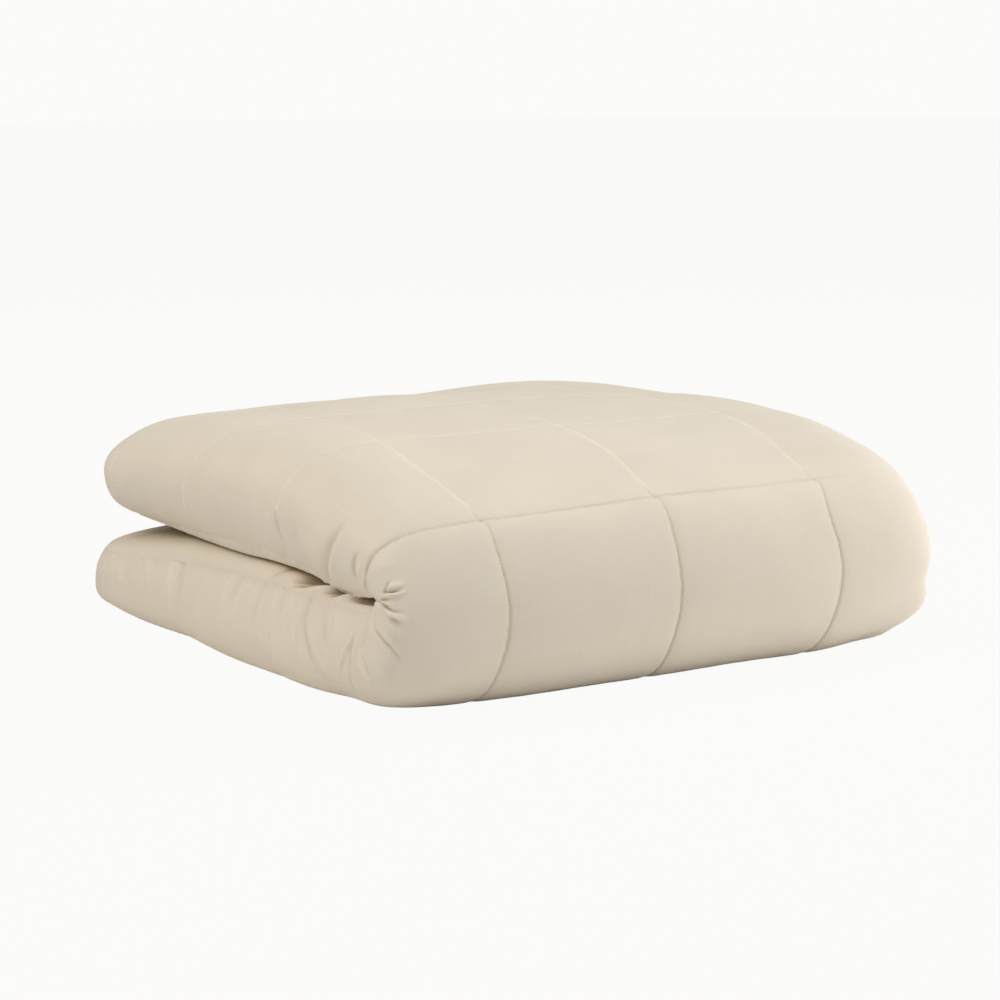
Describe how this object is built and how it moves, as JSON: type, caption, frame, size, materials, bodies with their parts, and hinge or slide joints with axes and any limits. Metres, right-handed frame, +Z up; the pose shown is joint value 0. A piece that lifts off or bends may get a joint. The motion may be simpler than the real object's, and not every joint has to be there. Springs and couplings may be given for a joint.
{
  "type": "weighted blanket",
  "caption": "Thick box-quilted weighted blanket lying folded in half, its rounded fold at the front, spread over a sleeper for warmth and gentle pressure.",
  "frame": {"origin": "on the surface it lies on, under the middle of the folded blanket", "axes": "+X to the right along the folded front edge, +Y to the back where the leaves are open, +Z up"},
  "size_m": [0.5398, 0.5805, 0.1846],
  "materials": {
    "cotton_cover": "matt plain-weave cotton in a warm cream"
  },
  "bodies": {
    "root": {"blanket": "cotton_cover"}
  },
  "joints": []
}
